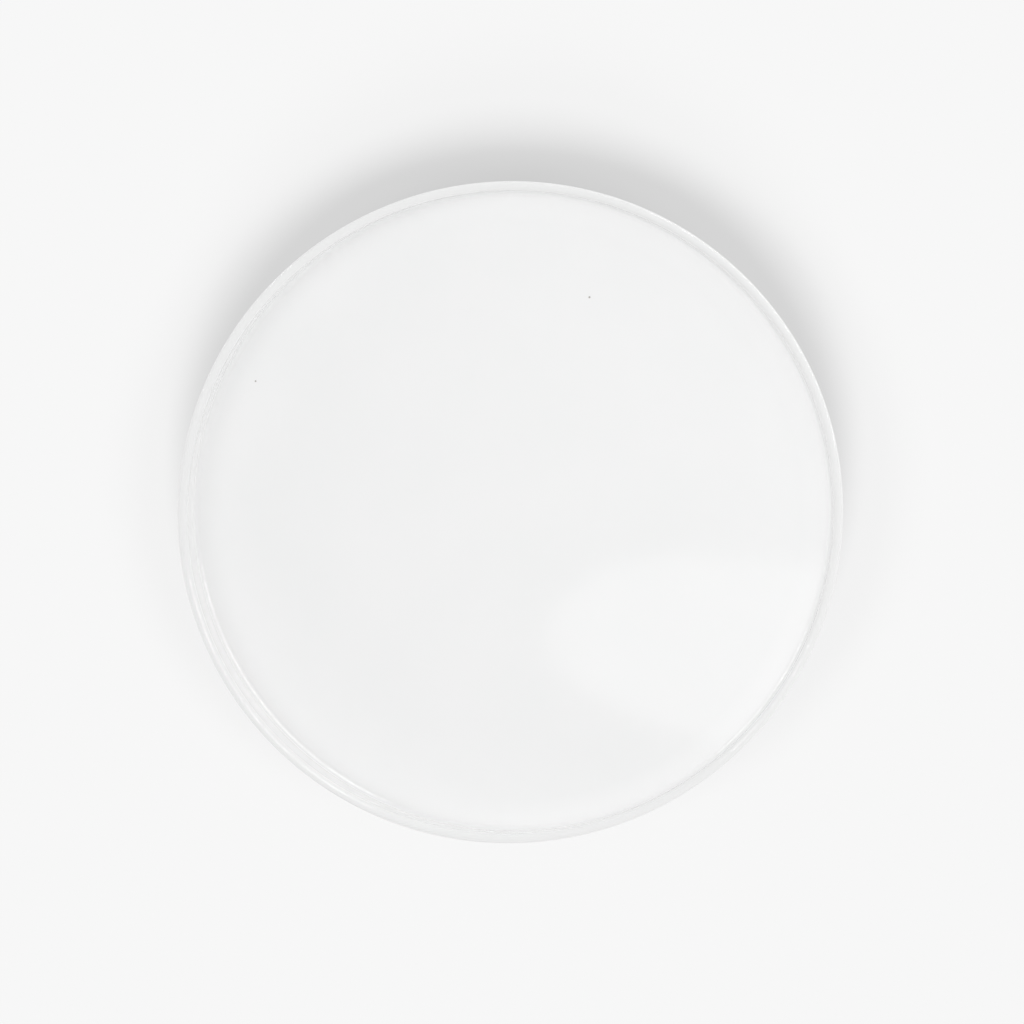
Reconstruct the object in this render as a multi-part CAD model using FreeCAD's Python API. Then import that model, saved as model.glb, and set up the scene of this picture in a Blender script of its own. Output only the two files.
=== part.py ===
"""Evaporating dish: a low, flat-floored porcelain dish on a bare foot ring.

The dish is one fired piece. It is made of a biscuit porcelain body and the glaze fused onto it. The foot
ring is wiped clean before the glaze is fired, so the glaze ends in two separate areas: the coat that runs
from the floor over the lip and down the outside to the foot, and the disc in the recess inside the foot.

Millimetres, +Z up. The origin is at the centre of the standing face.
"""

import FreeCAD, Part
import math
import os

Vector = FreeCAD.Vector

# Overall size, over the glaze
RIM_RADIUS = 75.0
TOTAL_HEIGHT = 18.0
LIP_OUTER_RADIUS = 0.5  # from the lip's crest outwards
LIP_INNER_RADIUS = 1.6  # and inwards; the two together are the wall's thickness at the top
GLAZE = 0.3  # thickness of the fused glaze

# Floor and wall, over the glaze
FOOT_HEIGHT = 1.5  # from the standing face up to the underside
BASE_THICKNESS = 3.0
OUTER_FLARE = 2.5  # degrees that the outside of the wall leans out
INNER_FLARE = 3.0  # degrees that the inside leans out, so the wall thickens downwards
FLOOR_FILLET = 1.4
HEEL_RADIUS = 6.0

# Foot ring, bare biscuit
FOOT_OUTER_RADIUS = 60.0
FOOT_INNER_RADIUS = 56.4
FOOT_EDGE = 0.5  # rounding of both edges of the standing face
FOOT_FILLET = 0.6  # over the glaze, where either flank meets the underside

FLOOR_Z = FOOT_HEIGHT + BASE_THICKNESS
GLAZE_STOP_Z = FOOT_HEIGHT - FOOT_FILLET

# Directions in the half-profile's plane, in degrees: outwards is +X and up is +Z
OUTWARDS = 0
UP = 90
INWARDS = 180
DOWN = -90


def normal(angle):
    """The unit vector in the profile's plane at this angle."""
    return Vector(math.cos(math.radians(angle)), 0, math.sin(math.radians(angle)))


class Station:
    """A point of the dish's surface, with the direction in which the surface faces there."""

    def __init__(self, radius, height, facing):
        self.point = Vector(radius, 0, height)
        self.facing = facing

    def inset(self, depth):
        """The point this far under the surface."""
        return self.point - normal(self.facing) * depth


class Round:
    """A circular stretch of the profile, between the directions that the surface faces at its ends.

    The radius is positive where the profile bulges, and negative where it is hollow and its centre lies
    on the side that the surface faces.
    """

    def __init__(self, centre, radius, facings):
        middle = sum(facings) / 2
        self.start, self.middle, self.end = (
            Station(centre.x + normal(facing).x * radius, centre.z + normal(facing).z * radius, facing)
            for facing in (facings[0], middle, facings[1])
        )

    def edge(self, depth):
        """The stretch's edge this far under the surface."""
        return Part.Arc(self.start.inset(depth), self.middle.inset(depth), self.end.inset(depth)).toShape()


class Straight:
    """A straight stretch of the profile between two stations that face the same way."""

    def __init__(self, start, end):
        self.start = start
        self.end = end

    def edge(self, depth):
        """The stretch's edge this far under the surface."""
        return Part.LineSegment(self.start.inset(depth), self.end.inset(depth)).toShape()


def centre_beside(station, height, radius):
    """The centre, at this height, of a round that runs into the straight wall through a station."""
    facing = normal(station.facing)
    reach = station.point.dot(facing) - radius
    return Vector((reach - height * facing.z) / facing.x, 0, height)


def coat_profile():
    """The glazed surface from the foot's outer flank, over the lip, to the middle of the floor."""
    outside = OUTWARDS - OUTER_FLARE
    inside = INWARDS - INNER_FLARE
    crest = RIM_RADIUS - LIP_OUTER_RADIUS
    lip_outside = Round(Vector(crest, 0, TOTAL_HEIGHT - LIP_OUTER_RADIUS), LIP_OUTER_RADIUS, (outside, UP))
    lip_inside = Round(Vector(crest, 0, TOTAL_HEIGHT - LIP_INNER_RADIUS), LIP_INNER_RADIUS, (UP, inside))

    heel_centre = centre_beside(lip_outside.start, FOOT_HEIGHT + HEEL_RADIUS, HEEL_RADIUS)
    heel = Round(heel_centre, HEEL_RADIUS, (DOWN, outside))

    fillet_centre = centre_beside(lip_inside.end, FLOOR_Z + FLOOR_FILLET, -FLOOR_FILLET)
    fillet = Round(fillet_centre, -FLOOR_FILLET, (inside, UP))

    foot_centre = Vector(FOOT_OUTER_RADIUS + GLAZE + FOOT_FILLET, 0, GLAZE_STOP_Z)
    foot = Round(foot_centre, -FOOT_FILLET, (OUTWARDS, DOWN))

    return [
        foot,
        Straight(foot.end, heel.start),
        heel,
        Straight(heel.end, lip_outside.start),
        lip_outside,
        lip_inside,
        Straight(lip_inside.end, fillet.start),
        fillet,
        Straight(fillet.end, Station(0, FLOOR_Z, UP)),
    ]


def recess_profile():
    """The glazed surface from the foot's inner flank to the middle of the underside."""
    foot_centre = Vector(FOOT_INNER_RADIUS - GLAZE - FOOT_FILLET, 0, GLAZE_STOP_Z)
    foot = Round(foot_centre, -FOOT_FILLET, (-INWARDS, DOWN))
    return [foot, Straight(foot.end, Station(0, FOOT_HEIGHT, DOWN))]


def foot_profile():
    """The bare foot, from where the glaze stops inside, over the standing face, to where it stops outside."""
    inner = Round(Vector(FOOT_INNER_RADIUS + FOOT_EDGE, 0, FOOT_EDGE), FOOT_EDGE, (-INWARDS, DOWN))
    outer = Round(Vector(FOOT_OUTER_RADIUS - FOOT_EDGE, 0, FOOT_EDGE), FOOT_EDGE, (DOWN, OUTWARDS))
    return [
        Straight(Station(FOOT_INNER_RADIUS, GLAZE_STOP_Z, -INWARDS), inner.start),
        inner,
        Straight(inner.end, outer.start),
        outer,
        Straight(outer.end, Station(FOOT_OUTER_RADIUS, GLAZE_STOP_Z, OUTWARDS)),
    ]


def edges_of(profile, depth):
    """A profile's edges, this far under the surface."""
    return [stretch.edge(depth) for stretch in profile]


def turned(edges):
    """The solid of revolution of a closed half-profile."""
    wire = Part.Wire(Part.__sortEdges__(edges))
    return Part.Face(wire).revolve(Vector(0, 0, 0), Vector(0, 0, 1), 360)


def glaze_over(profile):
    """The layer of glaze under a profile, closed where the profile starts and where it ends."""
    ends = [
        Part.LineSegment(station.inset(0), station.inset(GLAZE)).toShape()
        for station in (profile[0].start, profile[-1].end)
    ]
    return turned(edges_of(profile, 0) + edges_of(profile, GLAZE) + ends)


def glaze_coat():
    """The glaze over the floor, wall, lip and outside, down to the outer flank of the foot."""
    return glaze_over(coat_profile())


def recess_glaze():
    """The glaze in the shallow recess inside the foot ring."""
    return glaze_over(recess_profile())


def porcelain_body():
    """The biscuit: base, wall and lip under the glaze, and the bare foot ring."""
    floor_middle = coat_profile()[-1].end.inset(GLAZE)
    underside_middle = recess_profile()[-1].end.inset(GLAZE)
    axis = Part.LineSegment(floor_middle, underside_middle).toShape()
    glazed = edges_of(coat_profile(), GLAZE) + edges_of(recess_profile(), GLAZE)
    return turned(glazed + edges_of(foot_profile(), 0) + [axis])


def main():
    os.makedirs("parts", exist_ok=True)
    nodes = {
        "porcelain_body": porcelain_body(),
        "glaze_coat": glaze_coat(),
        "recess_glaze": recess_glaze(),
    }
    for name, shape in nodes.items():
        shape.exportStep(f"parts/{name}.step")
        print(f"{name}: {shape.ShapeType}, valid {shape.isValid()}, {shape.Volume / 1000:.2f} cm3")


main()
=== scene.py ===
import math

import bmesh
import bpy
from mathutils import Matrix, Vector, noise


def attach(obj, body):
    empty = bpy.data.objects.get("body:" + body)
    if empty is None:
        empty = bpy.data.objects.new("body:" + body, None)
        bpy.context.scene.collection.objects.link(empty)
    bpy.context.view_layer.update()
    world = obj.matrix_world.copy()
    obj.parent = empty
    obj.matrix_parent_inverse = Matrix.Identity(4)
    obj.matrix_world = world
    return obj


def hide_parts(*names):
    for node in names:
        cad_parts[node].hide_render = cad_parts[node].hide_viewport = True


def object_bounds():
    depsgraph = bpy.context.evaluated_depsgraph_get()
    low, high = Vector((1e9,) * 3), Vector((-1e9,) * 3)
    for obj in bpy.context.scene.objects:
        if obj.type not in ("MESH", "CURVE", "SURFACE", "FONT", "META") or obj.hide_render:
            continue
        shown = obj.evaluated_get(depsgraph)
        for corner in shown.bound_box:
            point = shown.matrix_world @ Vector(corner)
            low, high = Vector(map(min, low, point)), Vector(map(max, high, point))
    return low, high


# The looks of a glazed porcelain evaporating dish. Metres, in the CAD frame: +Z up, the origin at the
# centre of the standing face.

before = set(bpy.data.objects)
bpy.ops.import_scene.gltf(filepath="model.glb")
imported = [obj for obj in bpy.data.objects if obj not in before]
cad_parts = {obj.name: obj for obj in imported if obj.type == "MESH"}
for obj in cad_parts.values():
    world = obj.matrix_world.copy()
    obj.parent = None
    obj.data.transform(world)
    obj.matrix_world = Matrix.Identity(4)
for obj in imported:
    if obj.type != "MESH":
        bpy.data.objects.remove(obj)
cad_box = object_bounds()

MM = 0.001

# Sizes of the dish, over the glaze. The rim's radius and the height come from the frame.
RIM_RADIUS = cad_box[1][0]
TOTAL_HEIGHT = cad_box[1][2]
LIP_OUTER_RADIUS = 0.5 * MM
LIP_INNER_RADIUS = 1.6 * MM
GLAZE = 0.3 * MM
FOOT_HEIGHT = 1.5 * MM
BASE_THICKNESS = 3.0 * MM
OUTER_FLARE = 2.5  # degrees
INNER_FLARE = 3.0  # degrees
FLOOR_FILLET = 1.4 * MM
HEEL_RADIUS = 6.0 * MM
FOOT_OUTER_RADIUS = 60.0 * MM
FOOT_INNER_RADIUS = 56.4 * MM
FOOT_EDGE = 0.5 * MM
FOOT_FILLET = 0.6 * MM
FLOOR_Z = FOOT_HEIGHT + BASE_THICKNESS
GLAZE_STOP_Z = FOOT_HEIGHT - FOOT_FILLET

# How the firing left it. Every amount only takes away from the CAD model's outline.
OVAL = 0.7 * MM  # how much shorter the rim's short half-axis is
OVAL_AZIMUTH = 24.0  # degrees, the rim's long axis
RIM_WAVE = 0.12 * MM  # how far the rim dips at its lowest
FLOOR_WAVE = 0.03 * MM  # how far the base sags and rises
FLOOR_WAVE_LENGTH = 34 * MM
WAVY_RADIUS = 0.8 * RIM_RADIUS  # inside this the base waves by the full amount
RIM_LOBES = ((2, 1.0, 0.35), (3, 2.0, 0.15))  # of the dips round the rim: how many, phase and share
STOP_WAVE = 0.1 * MM  # how far the glaze's edge at the foot wanders up and down
STOP_NOISE_RADIUS = 9.0  # it follows noise along a circle of this radius, about 56 features round

# Directions in the half-profile, in degrees
OUTWARDS = 0
UP = 90
INWARDS = 180
DOWN = -90

# Places and directions in the room
CENTRE = Vector((0, 0, 0))
NORTH = Vector((0, 1, 0))
ABOVE = Vector((0, 0, 1))

SEGMENTS = 512  # round the rim; half as many each time that the radius halves
FEWEST_SEGMENTS = 32
CLOSEST = 0.06 * MM  # from a round to the first ring of the flat beside it
CLOSE_GROWTH = 3  # how many times as far off as the one before it each further close ring is
CLOSE_PARTS = 3  # the close rings at either end take up at most one part in this many of the flat
COAT_SPACING = 1.2 * MM  # between the rings of a flat stretch
UNDER_SPACING = 1.5 * MM
FOOT_SPACING = 0.4 * MM
FLANK_SPACING = 0.2 * MM
AXIS = 1e-9  # a smaller radius is on the axis

# The glaze: its colours, and where each of them is. A scale is a number of features to the metre.
GLAZE_WHITE = (0.9, 0.9, 0.9, 1)
GLAZE_CLOUD = (0.888, 0.891, 0.89, 1)
# painted shade: the grey of the wall and lip
GLAZE_RIM_SHADE = (0.848, 0.85, 0.848, 1)
# painted light: the lighter ring on the floor beside the wall
GLAZE_LIT_RING = (0.925, 0.925, 0.925, 1)
GLAZE_IOR = 1.52
GLAZE_SPECULAR = 0.5
GLAZE_ROUGHNESS = (0.03, 0.05)  # the gloss varies between these
GLOSS_SCALE = 160
GLOSS_RANGE = (0.3, 0.7)  # the noise's values over which the gloss varies
CLOUD_SCALE = 45
CLOUD_RANGE = (0.35, 0.7)
RIPPLE_SCALE = 120
RIPPLE = 0.0008 * MM  # the height of the surface's faint ripple
LIT_RING_FROM = 65.3 * MM  # painted light: a lighter ring on the floor beside the wall, which grows between these radii
LIT_RING_TO = 70.0 * MM
LIT_RING_TOP = FLOOR_Z + 0.5 * MM  # it reaches this high
LIT_RING_EASE = 0.4 * MM  # and dies out over this height
LIT_RING_SIDE = 25 * MM  # and over this width towards -X, the side where the floor's edge is left in shade
THIN_SPECULAR = 0.27  # the thin glaze reflects less than the rest
SHADE_AND_THIN_FROM = 11 * MM  # the glaze gets thinner, and painted shade greys it, between these heights
SHADE_AND_THIN_TO = 16 * MM
SPECKS = ((17.3 * MM, 48.3 * MM, 0.6 * MM), (-58.3 * MM, 29.3 * MM, 0.5 * MM))  # x, y and width of each
SPECK_BROWN = (0.42, 0.4, 0.37, 1)

# The biscuit
BISCUIT_DARK = (0.72, 0.70, 0.66, 1)
BISCUIT_LIGHT = (0.8, 0.785, 0.75, 1)
BISCUIT_WORN = (0.42, 0.41, 0.39, 1)
BISCUIT_ROUGHNESS = 0.62
MOTTLE_SCALE = 900
WEAR_SCALE = 420
WEAR_RANGE = (0.5, 0.72)
WEAR = 0.55  # how much of the worn colour shows where it is strongest
GRAIN_SCALE = 5200
GRAIN = 0.02 * MM  # the height of the grain
GRAIN_STRENGTH = 0.6

# The studio
BACKGROUND = 0.93  # the tone of the table and of what is behind it
TABLE_ALBEDO = 0.1
TABLE_SIZE = 12.0
TABLE_CELLS = 8  # along each side
SKY = 0.72  # how bright the room is, as the dish sees it
SHADOW_LOW = 0.034  # what each shadow-casting light adds to the table's tone
SHADOW_HIGH = 0.19
SHADOW_SIDE = 0.04
TABLE_GLOW = BACKGROUND - TABLE_ALBEDO * SKY - SHADOW_LOW - SHADOW_HIGH - 2 * SHADOW_SIDE  # its own light
KEY_TONE = 0.138  # what the key adds to the brightness of a level white surface
KEY_AZIMUTH = 29.0
KEY_ELEVATION = 54.0
KEY_DISTANCE = 0.5
KEY_SIDE = 0.2
TOP_TONE = 0.052  # what the light overhead adds to it, except close under the wall on its own side
TOP_AZIMUTH = 180.0
TOP_ELEVATION = 67.0
TOP_SPREAD = 16.0
FILL_TONE = 0.165  # what each fill light adds to a white surface that faces it
FILL_AZIMUTHS = (0, 120, 240)
FILL_ELEVATION = 10.0
FILL_SPREAD = 40.0
SHARE_OF_BOX = {"RECTANGLE": 1, "ELLIPSE": math.pi / 4}  # the part of its box that a card's shape fills
SOFTBOX_ELEVATION = 42.0
SOFTBOX_DISTANCE = 1.2
SOFTBOX_HEIGHT = 0.17
OVERHEAD_PLACE = Vector((0.0256, -0.0695, 1.0))
OVERHEAD_TURN = -6.0
OVERHEAD_SIZE = (0.139, 0.06)
OVERHEAD_RADIANCE = 0.85
CAMERA_DISTANCE = 2.4
CAMERA_TILT = 3.4  # degrees from straight down
CAMERA_AZIMUTH = 24.0  # degrees, the side that the camera leans towards
CAMERA_AIM = Vector((0.52 * MM, 0.11 * MM, TOTAL_HEIGHT))
CAMERA_SENSOR = 36.0  # millimetres wide
CAMERA_NEAREST = 0.01  # what is closer than this isn't seen
RIM_SHARE = 0.652  # the rim's width as a share of the frame's
FRAME_SIDE = 2 * RIM_RADIUS / RIM_SHARE


class Sample:
    """A point of the half-profile, and the direction, in degrees, in which the surface faces there."""

    def __init__(self, radius, height, facing):
        self.radius = radius
        self.height = height
        self.facing = facing

    def inset(self, depth):
        """The sample this far under the surface."""
        angle = math.radians(self.facing)
        radius = self.radius - math.cos(angle) * depth
        height = self.height - math.sin(angle) * depth
        return Sample(radius, height, self.facing)


def round_run(radius, height, size, start, end, steps):
    """Samples of a round, centred at this radius and height. A hollow round has a negative size."""
    samples = []
    for step in range(steps + 1):
        facing = start + (end - start) * step / steps
        angle = math.radians(facing)
        samples.append(Sample(radius + math.cos(angle) * size, height + math.sin(angle) * size, facing))
    return samples


def straight_run(start, end, spacing):
    """Samples between two others, which aren't repeated, closer together next to a round at either end.

    The close ones keep the round's shading from spreading over the flat beside it.
    """
    length = math.hypot(end.radius - start.radius, end.height - start.height)
    near = []
    place = CLOSEST
    while place < min(spacing, length / CLOSE_PARTS):
        near.append(place / length)
        place *= CLOSE_GROWTH
    steps = max(2, round(length / spacing))
    even = [step / steps for step in range(1, steps)]
    even = [share for share in even if not near or near[-1] < share < 1 - near[-1]]
    samples = []
    for share in near + even + [1 - share for share in reversed(near)]:
        radius = start.radius + (end.radius - start.radius) * share
        height = start.height + (end.height - start.height) * share
        samples.append(Sample(radius, height, start.facing))
    return samples


def centre_beside(sample, height, size):
    """The radius at which a round centred at this height runs into the straight wall at a sample."""
    angle = math.radians(sample.facing)
    reach = sample.radius * math.cos(angle) + sample.height * math.sin(angle) - size
    return (reach - height * math.sin(angle)) / math.cos(angle)


def joined(runs, spacing):
    """One list of samples: the given rounds with straight runs between them."""
    samples = list(runs[0])
    for run in runs[1:]:
        samples += straight_run(samples[-1], run[0], spacing)
        samples += run
    return samples


def coat_profile(spacing):
    """The glazed surface from the foot's outer flank, over the lip, to the middle of the floor."""
    outside = OUTWARDS - OUTER_FLARE
    inside = INWARDS - INNER_FLARE
    crest = RIM_RADIUS - LIP_OUTER_RADIUS
    lip = round_run(crest, TOTAL_HEIGHT - LIP_OUTER_RADIUS, LIP_OUTER_RADIUS, outside, UP, steps=14)
    lip += round_run(crest, TOTAL_HEIGHT - LIP_INNER_RADIUS, LIP_INNER_RADIUS, UP, inside, steps=26)[1:]
    heel_z = FOOT_HEIGHT + HEEL_RADIUS
    heel_r = centre_beside(lip[0], heel_z, HEEL_RADIUS)
    heel = round_run(heel_r, heel_z, HEEL_RADIUS, DOWN, outside, steps=24)
    fillet_z = FLOOR_Z + FLOOR_FILLET
    fillet_r = centre_beside(lip[-1], fillet_z, -FLOOR_FILLET)
    fillet = round_run(fillet_r, fillet_z, -FLOOR_FILLET, inside, UP, steps=28)
    foot_r = FOOT_OUTER_RADIUS + GLAZE + FOOT_FILLET
    foot = round_run(foot_r, GLAZE_STOP_Z, -FOOT_FILLET, OUTWARDS, DOWN, steps=10)
    return joined([foot, heel, lip, fillet, [Sample(0, FLOOR_Z, UP)]], spacing)


def recess_profile(spacing):
    """The glazed surface from the foot's inner flank to the middle of the underside."""
    foot_r = FOOT_INNER_RADIUS - GLAZE - FOOT_FILLET
    foot = round_run(foot_r, GLAZE_STOP_Z, -FOOT_FILLET, -INWARDS, DOWN, steps=10)
    return joined([foot, [Sample(0, FOOT_HEIGHT, DOWN)]], spacing)


def foot_profile(spacing):
    """The bare foot, from its inner flank, over the standing face, to its outer flank."""
    inner = round_run(FOOT_INNER_RADIUS + FOOT_EDGE, FOOT_EDGE, FOOT_EDGE, -INWARDS, DOWN, steps=8)
    outer = round_run(FOOT_OUTER_RADIUS - FOOT_EDGE, FOOT_EDGE, FOOT_EDGE, DOWN, OUTWARDS, steps=8)
    return joined([inner, outer], spacing)


def rolled_edge(sample):
    """The bead in which the glaze ends: half a round from the surface to the biscuit under it."""
    middle = sample.inset(GLAZE / 2)
    side = 1 if sample.facing == OUTWARDS else -1
    steps = 8
    samples = []
    for step in range(1, steps):
        angle = math.radians(180 * step / steps)
        radius = middle.radius + side * math.cos(angle) * GLAZE / 2
        height = middle.height - math.sin(angle) * GLAZE / 2
        samples.append(Sample(radius, height, sample.facing))
    return samples


def smooth(low, high, value):
    """0 up to low and 1 from high on, with an even ease between them. Low may be the greater."""
    share = min(1, max(0, (value - low) / (high - low)))
    return share * share * (3 - 2 * share)


def fired(x, y, z):
    """Where the firing left a point of the drawn shape. The standing face stays flat."""
    radius = math.hypot(x, y)
    azimuth = math.atan2(y, x)
    lift = smooth(FLOOR_Z, TOTAL_HEIGHT, z)
    long_axis = math.radians(OVAL_AZIMUTH)
    squeeze = 1 - lift * OVAL / RIM_RADIUS * (0.5 - 0.5 * math.cos(2 * (azimuth - long_axis)))
    lobes = sum(share * math.sin(count * azimuth + phase) for count, phase, share in RIM_LOBES)
    dip = lift * RIM_WAVE * (0.5 + lobes)
    off_foot = smooth(FOOT_HEIGHT / 2, FOOT_HEIGHT, z) * (1 - lift)
    inside_wall = smooth(RIM_RADIUS, WAVY_RADIUS, radius)
    wave = off_foot * inside_wall * FLOOR_WAVE * noise.noise(Vector((x, y, 0)) / FLOOR_WAVE_LENGTH)
    return Vector((x * squeeze, y * squeeze, z - dip + wave))


def ring_size(radius):
    """How many points a ring has: half as many each time that the radius halves."""
    count = SEGMENTS
    limit = RIM_RADIUS / 2
    while radius < limit and count > FEWEST_SEGMENTS:
        count //= 2
        limit /= 2
    return count


def bridge(mesh, first, second):
    """Faces between two rings, of which either may be a point, or have twice the other's points."""
    if len(first) < len(second):
        first, second = second, first
    count = len(first)
    if len(second) == 1:
        for index in range(count):
            mesh.faces.new((first[index], first[(index + 1) % count], second[0]))
        return
    step = count // len(second)
    for index in range(len(second)):
        here = second[index]
        onward = second[(index + 1) % len(second)]
        start = first[index * step]
        end = first[(index * step + step) % count]
        if step == 1:
            mesh.faces.new((start, end, onward, here))
            continue
        middle = first[index * step + 1]
        mesh.faces.new((start, middle, here))
        mesh.faces.new((middle, end, onward))
        mesh.faces.new((middle, onward, here))


def lathe(name, chain, stop_wander=0.0):
    """A closed solid of revolution from a chain of samples that starts and ends on the axis."""
    mesh = bmesh.new()
    rings = []
    for sample in chain:
        if sample.radius < AXIS:
            rings.append([mesh.verts.new(fired(0, 0, sample.height))])
            continue
        count = ring_size(sample.radius)
        ring = []
        near_stop = stop_wander * (1 - smooth(GLAZE_STOP_Z, FOOT_HEIGHT, sample.height))
        for index in range(count):
            turn = 2 * math.pi * index / count
            towards = Vector((math.cos(turn), math.sin(turn), 0))
            wander = near_stop * noise.noise(towards * STOP_NOISE_RADIUS)
            point = fired(sample.radius * math.cos(turn), sample.radius * math.sin(turn), sample.height)
            ring.append(mesh.verts.new(point + Vector((0, 0, wander))))
        rings.append(ring)
    for first, second in zip(rings, rings[1:]):
        bridge(mesh, first, second)
    bmesh.ops.recalc_face_normals(mesh, faces=mesh.faces)
    data = bpy.data.meshes.new(name)
    mesh.to_mesh(data)
    mesh.free()
    data.polygons.foreach_set("use_smooth", [True] * len(data.polygons))
    piece = bpy.data.objects.new(name, data)
    bpy.context.scene.collection.objects.link(piece)
    return piece


def glaze_chain(profile):
    """The chain round a layer of glaze, from the middle of its surface to the middle under it."""
    under = [sample.inset(GLAZE) for sample in profile]
    return profile[::-1] + rolled_edge(profile[0]) + under


def make_glaze_coat():
    """The glaze over the inside, lip and outside."""
    piece = lathe("fired_glaze", glaze_chain(coat_profile(COAT_SPACING)), STOP_WAVE)
    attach(piece, "root")
    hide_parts("glaze_coat")
    return piece


def make_recess_glaze():
    """The glaze in the recess under the base."""
    piece = lathe("fired_recess_glaze", glaze_chain(recess_profile(UNDER_SPACING)), STOP_WAVE)
    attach(piece, "root")
    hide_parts("recess_glaze")
    return piece


def make_body():
    """The biscuit porcelain: under the glaze, and bare at the foot."""
    coat = [sample.inset(GLAZE) for sample in coat_profile(UNDER_SPACING)]
    recess = [sample.inset(GLAZE) for sample in recess_profile(UNDER_SPACING)]
    foot = foot_profile(FOOT_SPACING)
    flank_out = straight_run(foot[-1], coat[0], FLANK_SPACING)
    flank_in = straight_run(recess[0], foot[0], FLANK_SPACING)
    chain = recess[::-1] + flank_in + foot + flank_out + coat
    piece = lathe("fired_body", chain)
    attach(piece, "root")
    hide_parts("porcelain_body")
    return piece


class Shader:
    """A material and short ways to add nodes to it."""

    def __init__(self, name):
        self.material = bpy.data.materials.new(name)
        self.material.use_nodes = True
        self.nodes = self.material.node_tree.nodes
        self.links = self.material.node_tree.links
        self.base = self.nodes["Principled BSDF"]

    def add(self, kind, settings=None, inputs=None):
        """A new node with these settings, whose inputs are values or other nodes' outputs."""
        node = self.nodes.new(kind)
        for key, value in (settings or {}).items():
            setattr(node, key, value)
        for key, value in (inputs or {}).items():
            self.feed(node.inputs[key], value)
        return node

    def feed(self, socket, value):
        """Gives an input a value, or joins another node's output to it."""
        if isinstance(value, bpy.types.NodeSocket):
            self.links.new(value, socket)
        else:
            socket.default_value = value

    def place(self):
        """The point on the object, in metres."""
        return self.add("ShaderNodeTexCoord").outputs["Object"]

    def noise(self, scale, detail=2.0, roughness=0.5):
        """Noise from 0 to 1, with this many features to the metre."""
        inputs = {"Vector": self.place(), "Scale": scale, "Detail": detail, "Roughness": roughness}
        return self.add("ShaderNodeTexNoise", inputs=inputs).outputs["Fac"]

    def span(self, value, low, high, to_low, to_high):
        """A value moved from one range to another, and kept inside it."""
        inputs = {"Value": value, "From Min": low, "From Max": high, "To Min": to_low, "To Max": to_high}
        return self.add("ShaderNodeMapRange", inputs=inputs).outputs["Result"]

    def times(self, first, second):
        """The product of two values."""
        inputs = {0: first, 1: second}
        return self.add("ShaderNodeMath", {"operation": "MULTIPLY"}, inputs).outputs["Value"]

    def from_axis(self):
        """How far the point on the object is from the dish's axis."""
        inputs = {0: self.place(), 1: (1, 1, 0)}
        level = self.add("ShaderNodeVectorMath", {"operation": "MULTIPLY"}, inputs).outputs["Vector"]
        return self.add("ShaderNodeVectorMath", {"operation": "LENGTH"}, {0: level}).outputs["Value"]

    def mix(self, share, first, second):
        """Two colours mixed by a share."""
        node = self.add("ShaderNodeMix", {"data_type": "RGBA"})
        self.feed(node.inputs[0], share)
        self.feed(node.inputs[6], first)
        self.feed(node.inputs[7], second)
        return node.outputs[2]

    def bump(self, height, distance, strength=1.0):
        """A bumped normal."""
        inputs = {"Height": height, "Distance": distance, "Strength": strength}
        return self.add("ShaderNodeBump", inputs=inputs).outputs["Normal"]


def speckled(shader, colour):
    """A colour with the few small dark specks that iron in the clay leaves in the glaze."""
    for x, y, width in SPECKS:
        inputs = {0: shader.place(), 1: (x, y, FLOOR_Z)}
        away = shader.add("ShaderNodeVectorMath", {"operation": "DISTANCE"}, inputs).outputs["Value"]
        colour = shader.mix(shader.span(away, width / 4, width / 2, 1, 0), colour, SPECK_BROWN)
    return colour


def painted_light_ring(shader):
    """1 where light is painted: a lighter ring beside the wall, inside and out, on the +X side, dying out
    towards -X.
    """
    place = shader.add("ShaderNodeSeparateXYZ", inputs={0: shader.place()})
    lower = shader.span(place.outputs["X"], -LIT_RING_SIDE, 0, 0, 1)
    below = shader.span(place.outputs["Z"], LIT_RING_TOP - LIT_RING_EASE, LIT_RING_TOP, 1, 0)
    edge = shader.span(shader.from_axis(), LIT_RING_FROM, LIT_RING_TO, 0, 1)
    return shader.times(shader.times(edge, below), lower)


def glaze_material():
    """White glaze: hard gloss and faint clouding, with a painted ring of light on the floor beside the
    wall, and painted shade that greys it towards the lip.
    """
    shader = Shader("white_glaze_gloss")
    cloud = shader.span(shader.noise(CLOUD_SCALE, detail=3), *CLOUD_RANGE, 0, 1)
    clouded = speckled(shader, shader.mix(cloud, GLAZE_WHITE, GLAZE_CLOUD))
    height = shader.add("ShaderNodeSeparateXYZ", inputs={0: shader.place()}).outputs["Z"]
    # painted shade greys the glaze towards the lip, where the thin glaze also reflects less
    shade_and_thin = shader.span(height, SHADE_AND_THIN_FROM, SHADE_AND_THIN_TO, 0, 1)
    # painted light: a lighter ring on the floor beside the wall
    lit_ring_colour = shader.mix(painted_light_ring(shader), clouded, GLAZE_LIT_RING)
    shader.feed(shader.base.inputs["Base Color"], shader.mix(shade_and_thin, lit_ring_colour, GLAZE_RIM_SHADE))
    specular = shader.span(shade_and_thin, 0, 1, GLAZE_SPECULAR, THIN_SPECULAR)
    shader.feed(shader.base.inputs["Specular IOR Level"], specular)
    roughness = shader.span(shader.noise(GLOSS_SCALE, detail=2), *GLOSS_RANGE, *GLAZE_ROUGHNESS)
    shader.feed(shader.base.inputs["Roughness"], roughness)
    shader.feed(shader.base.inputs["IOR"], GLAZE_IOR)
    shader.feed(shader.base.inputs["Normal"], shader.bump(shader.noise(RIPPLE_SCALE, detail=1), RIPPLE))
    return shader.material


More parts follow.
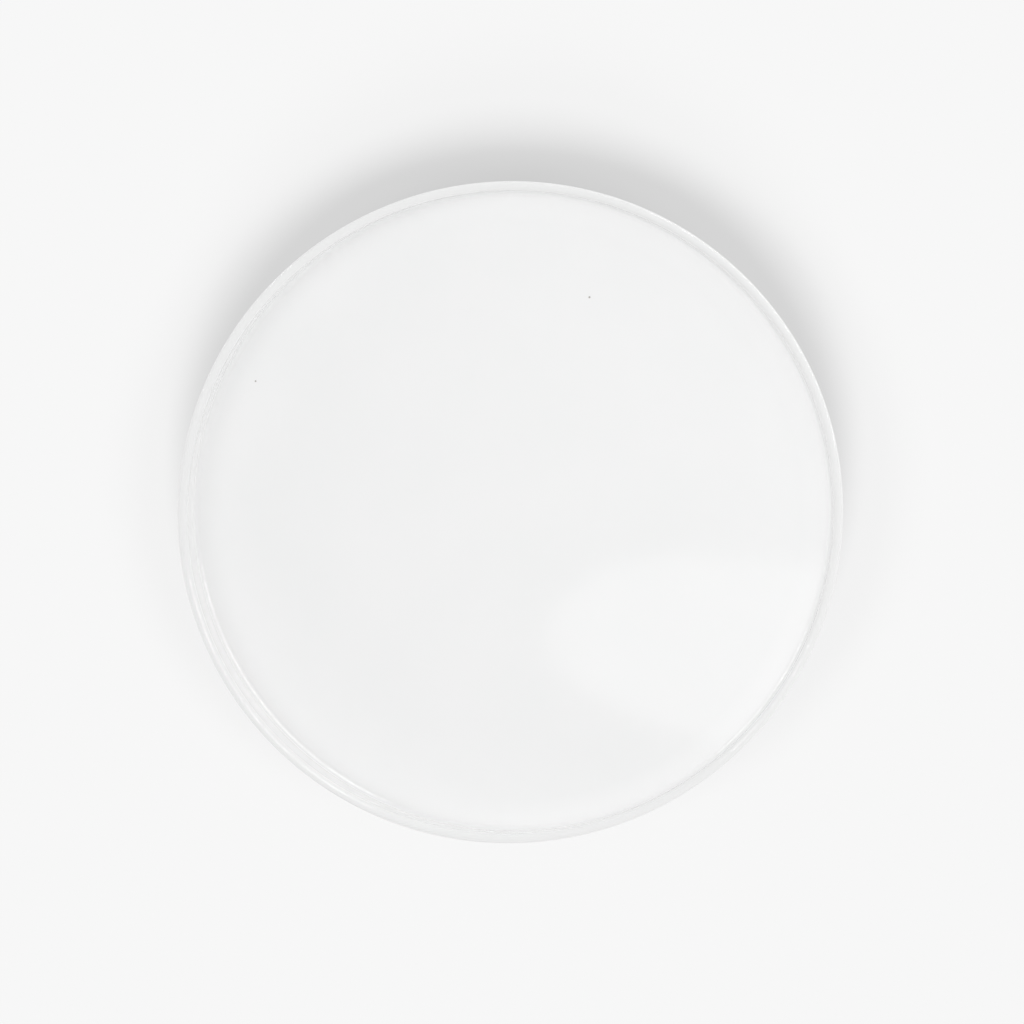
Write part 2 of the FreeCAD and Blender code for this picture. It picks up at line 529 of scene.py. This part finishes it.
def biscuit_material():
    """Bare fired porcelain: warm, matte and finely grained, greyed where it has stood on things."""
    shader = Shader("biscuit_porcelain_matte")
    clean = shader.mix(shader.noise(MOTTLE_SCALE, detail=4), BISCUIT_DARK, BISCUIT_LIGHT)
    worn = shader.span(shader.noise(WEAR_SCALE, detail=5, roughness=0.7), *WEAR_RANGE, 0, WEAR)
    shader.feed(shader.base.inputs["Base Color"], shader.mix(worn, clean, BISCUIT_WORN))
    shader.feed(shader.base.inputs["Roughness"], BISCUIT_ROUGHNESS)
    grain = shader.noise(GRAIN_SCALE, detail=3)
    shader.feed(shader.base.inputs["Normal"], shader.bump(grain, GRAIN, GRAIN_STRENGTH))
    return shader.material


def table_material():
    """A lit, pale table top: most of its light is its own, so nothing on it has a dark contact line."""
    shader = Shader("lit_table")
    output = shader.nodes["Material Output"]
    shader.nodes.remove(shader.base)
    pale = shader.add("ShaderNodeBsdfDiffuse", inputs={"Color": (TABLE_ALBEDO,) * 3 + (1,)})
    glow = shader.add("ShaderNodeEmission", inputs={"Color": (1, 1, 1, 1), "Strength": TABLE_GLOW})
    both = shader.add("ShaderNodeAddShader")
    shader.links.new(pale.outputs[0], both.inputs[0])
    shader.links.new(glow.outputs[0], both.inputs[1])
    shader.links.new(both.outputs[0], output.inputs["Surface"])
    return shader.material


def direction(azimuth, elevation):
    """The unit vector towards an azimuth from +X and an elevation, in degrees."""
    a, e = math.radians(azimuth), math.radians(elevation)
    return Vector((math.cos(a) * math.cos(e), math.sin(a) * math.cos(e), math.sin(e)))


def facing(place, target, up):
    """The matrix of something at a place whose -Z looks at a target, with its Y towards up."""
    back = (place - target).normalized()
    right = up.cross(back).normalized()
    return Matrix.Translation(place) @ Matrix((right, back.cross(right), back)).transposed().to_4x4()


def make_table():
    """A level table top under the dish, wider than any view of it."""
    mesh = bmesh.new()
    bmesh.ops.create_grid(mesh, x_segments=TABLE_CELLS, y_segments=TABLE_CELLS, size=TABLE_SIZE / 2)
    data = bpy.data.meshes.new("table_top")
    mesh.to_mesh(data)
    mesh.free()
    table = bpy.data.objects.new("table_top", data)
    bpy.context.scene.collection.objects.link(table)
    data.materials.append(table_material())
    return table


def group(name, objects):
    """A collection that a light can be limited to."""
    collection = bpy.data.collections.new(name)
    for item in objects:
        collection.objects.link(item)
    return collection


def add_light(name, kind, matrix, receivers):
    """A light of this kind that lights only one group. The camera doesn't see it."""
    light = bpy.data.objects.new(name, bpy.data.lights.new(name, kind))
    light.matrix_world = matrix
    light.visible_camera = False
    light.light_linking.receiver_collection = receivers
    bpy.context.scene.collection.objects.link(light)
    return light


def shadow_light(name, tone, receivers, azimuth, elevation, spread):
    """A distant soft light that adds a tone to the table, except in the dish's shadow."""
    place = direction(azimuth, elevation)
    light = add_light(name, "SUN", facing(place, CENTRE, NORTH), receivers)
    light.data.angle = math.radians(spread)
    light.data.energy = tone * math.pi / TABLE_ALBEDO / math.sin(math.radians(elevation))


def key_light(receivers, blockers):
    """A broad soft light above the dish. The dish's low wall is left out of what blocks it."""
    place = direction(KEY_AZIMUTH, KEY_ELEVATION) * KEY_DISTANCE
    light = add_light("key", "AREA", facing(place, CENTRE, ABOVE), receivers)
    light.light_linking.blocker_collection = blockers
    light.visible_glossy = False
    light.data.size = KEY_SIDE
    light.data.energy = KEY_TONE * (math.pi * KEY_DISTANCE) ** 2 / math.sin(math.radians(KEY_ELEVATION))


def top_light(receivers):
    """A light overhead, a little to one side, so that the wall there shades the edge of the floor."""
    place = direction(TOP_AZIMUTH, TOP_ELEVATION)
    light = add_light("top", "SUN", facing(place, CENTRE, NORTH), receivers)
    light.visible_glossy = False
    light.data.angle = math.radians(TOP_SPREAD)
    light.data.energy = TOP_TONE * math.pi / math.sin(math.radians(TOP_ELEVATION))


def fill_lights(receivers, blockers):
    """Low, broad lights round the dish, so that no side of its wall is dark."""
    for azimuth in FILL_AZIMUTHS:
        place = direction(azimuth, FILL_ELEVATION)
        light = add_light(f"fill_{azimuth}", "SUN", facing(place, CENTRE, ABOVE), receivers)
        light.light_linking.blocker_collection = blockers
        light.visible_glossy = False
        light.data.angle = math.radians(FILL_SPREAD)
        light.data.energy = FILL_TONE * math.pi


def add_card(name, shape, matrix, width, height, radiance, receivers):
    """A glowing card, of which only the reflection in the glaze is seen."""
    card = add_light(name, "AREA", matrix, receivers)
    card.visible_diffuse = False
    card.data.shape = shape
    card.data.size = width
    card.data.size_y = height
    card.data.energy = radiance * width * height * SHARE_OF_BOX[shape] * math.pi


def softbox(name, receivers, azimuth, width, radiance):
    """A long card beside the dish that faces its middle."""
    middle = Vector((0, 0, TOTAL_HEIGHT / 2))
    place = middle + direction(azimuth, SOFTBOX_ELEVATION) * SOFTBOX_DISTANCE
    add_card(name, "RECTANGLE", facing(place, middle, ABOVE), width, SOFTBOX_HEIGHT, radiance, receivers)


def overhead_card(receivers):
    """The oval card over the dish that lightens part of its floor."""
    matrix = Matrix.Translation(OVERHEAD_PLACE) @ Matrix.Rotation(math.radians(OVERHEAD_TURN), 4, "Z")
    add_card("overhead", "ELLIPSE", matrix, *OVERHEAD_SIZE, OVERHEAD_RADIANCE, receivers)


def make_lights(table, pieces):
    """Lights for the dish alone, lights for the table alone, and the cards that the glaze reflects."""
    on_table = group("lit_table_only", [table])
    on_dish = group("lit_dish_only", pieces)
    key_light(on_dish, on_table)
    top_light(on_dish)
    fill_lights(on_dish, on_table)
    shadow_light("shadow_low", SHADOW_LOW, on_table, azimuth=270, elevation=30, spread=20)
    shadow_light("shadow_high", SHADOW_HIGH, on_table, azimuth=270, elevation=56, spread=28)
    shadow_light("shadow_left", SHADOW_SIDE, on_table, azimuth=207, elevation=50, spread=24)
    shadow_light("shadow_right", SHADOW_SIDE, on_table, azimuth=333, elevation=50, spread=24)
    softbox("upper_right", on_dish, azimuth=39, width=1.0, radiance=16)
    softbox("upper_left", on_dish, azimuth=148, width=0.42, radiance=10)
    overhead_card(on_dish)


def make_world():
    """The room: bright behind the table, dimmer as the dish sees it."""
    world = bpy.data.worlds.new("room")
    world.use_nodes = True
    nodes = world.node_tree.nodes
    links = world.node_tree.links
    background = nodes["Background"]
    background.inputs["Color"].default_value = (1, 1, 1, 1)
    path = nodes.new("ShaderNodeLightPath")
    tone = nodes.new("ShaderNodeMapRange")
    tone.inputs["To Min"].default_value = SKY
    tone.inputs["To Max"].default_value = BACKGROUND
    links.new(path.outputs["Is Camera Ray"], tone.inputs["Value"])
    links.new(tone.outputs["Result"], background.inputs["Strength"])
    bpy.context.scene.world = world


def make_camera():
    """A camera almost straight above, framed on the rim."""
    place = CAMERA_AIM + direction(CAMERA_AZIMUTH, 90 - CAMERA_TILT) * CAMERA_DISTANCE
    data = bpy.data.cameras.new("camera")
    data.sensor_width = CAMERA_SENSOR
    data.lens = data.sensor_width * CAMERA_DISTANCE / FRAME_SIDE
    data.clip_start = CAMERA_NEAREST
    camera = bpy.data.objects.new("camera", data)
    camera.matrix_world = facing(place, CAMERA_AIM, NORTH)
    bpy.context.scene.collection.objects.link(camera)
    bpy.context.scene.camera = camera


def main():
    """The dish, the table it stands on, the lights and the camera."""
    glaze = glaze_material()
    coat = make_glaze_coat()
    recess = make_recess_glaze()
    body = make_body()
    coat.data.materials.append(glaze)
    recess.data.materials.append(glaze)
    body.data.materials.append(biscuit_material())
    table = make_table()
    make_lights(table, [coat, recess, body])
    make_world()
    make_camera()
    bpy.context.scene.view_settings.view_transform = "Standard"


main()
